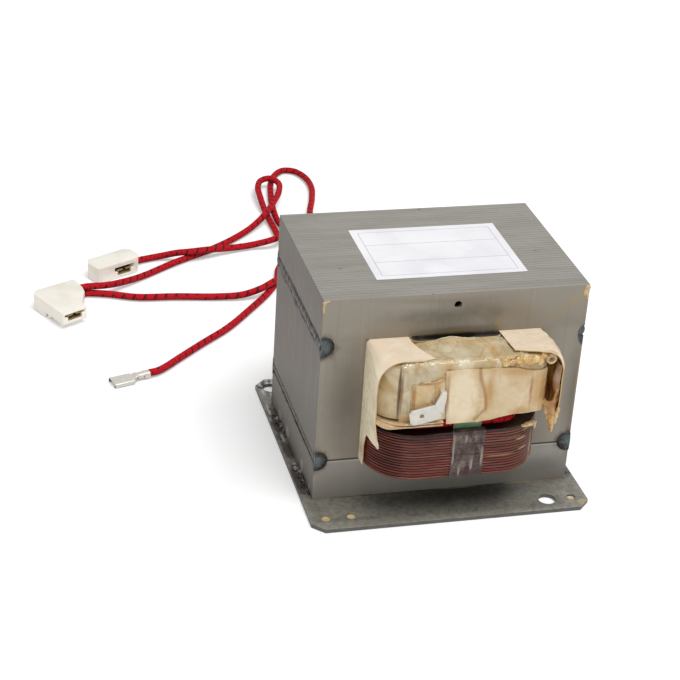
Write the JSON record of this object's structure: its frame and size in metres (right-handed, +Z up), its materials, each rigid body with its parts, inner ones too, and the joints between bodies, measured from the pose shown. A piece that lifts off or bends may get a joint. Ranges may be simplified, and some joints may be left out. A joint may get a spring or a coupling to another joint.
{
  "type": "high-voltage transformer",
  "caption": "High-voltage transformer: welded laminated core on a holed base plate, copper primary coil, papered secondary coil, red filament winding and loose leads with connectors.",
  "frame": {"origin": "middle of the underside of the base plate", "axes": "+X to the right seen from the tab side, +Y to the back where the leads lie, +Z up out of the plate"},
  "size_m": [0.1981, 0.343, 0.0884],
  "materials": {
    "core_steel": "ground laminated steel, dull",
    "plate_steel": "rolled sheet steel, dull",
    "weld": "dark weld bead",
    "enamelled_copper": "glossy dark red-brown enamel",
    "board": "tan insulating board",
    "cream_paper": "cream insulating paper",
    "amber_paper": "paper soaked with amber varnish",
    "coil_paper": "beige paper on the upper coil",
    "clear_tape": "clear tape over the turns",
    "green_tape": "dull green tape",
    "red_sleeve": "red braided sleeve with dark flecks",
    "shunt_steel": "dull",
    "tin": "tinned, bright",
    "brass": "bright",
    "nylon": "off-white",
    "label": "bare pale label"
  },
  "bodies": {
    "root": {"e_core": "core_steel", "i_core": "core_steel", "base_plate": "plate_steel", "upper_weld_left": "weld", "upper_weld_right": "weld", "seam_weld_left": "weld", "seam_weld_right": "weld", "plate_welds_left": "weld", "plate_welds_right": "weld", "primary_coil": "enamelled_copper", "primary_former": "board", "primary_tape": "clear_tape", "secondary_coil": "coil_paper", "secondary_former": "board", "secondary_wrap": "cream_paper", "secondary_collar": "board", "front_card": "cream_paper", "amber_patch": "amber_paper", "left_slot_liner": "cream_paper", "right_slot_liner": "cream_paper", "rolled_paper_tube": "amber_paper", "left_shunt": "shunt_steel", "right_shunt": "shunt_steel", "filament_winding": "red_sleeve", "winding_tape": "green_tape", "high_voltage_tab": "tin", "primary_card": "board", "primary_tab_left": "tin", "primary_tab_right": "tin", "ground_strip": "tin", "ground_weld": "weld", "label": "label", "lead_a": "red_sleeve", "lead_b": "red_sleeve", "jumper_lead": "red_sleeve", "housing_a": "nylon", "receptacle_a": "brass", "housing_b": "nylon", "receptacle_b": "brass", "spade_receptacle": "tin"}
  },
  "joints": []
}
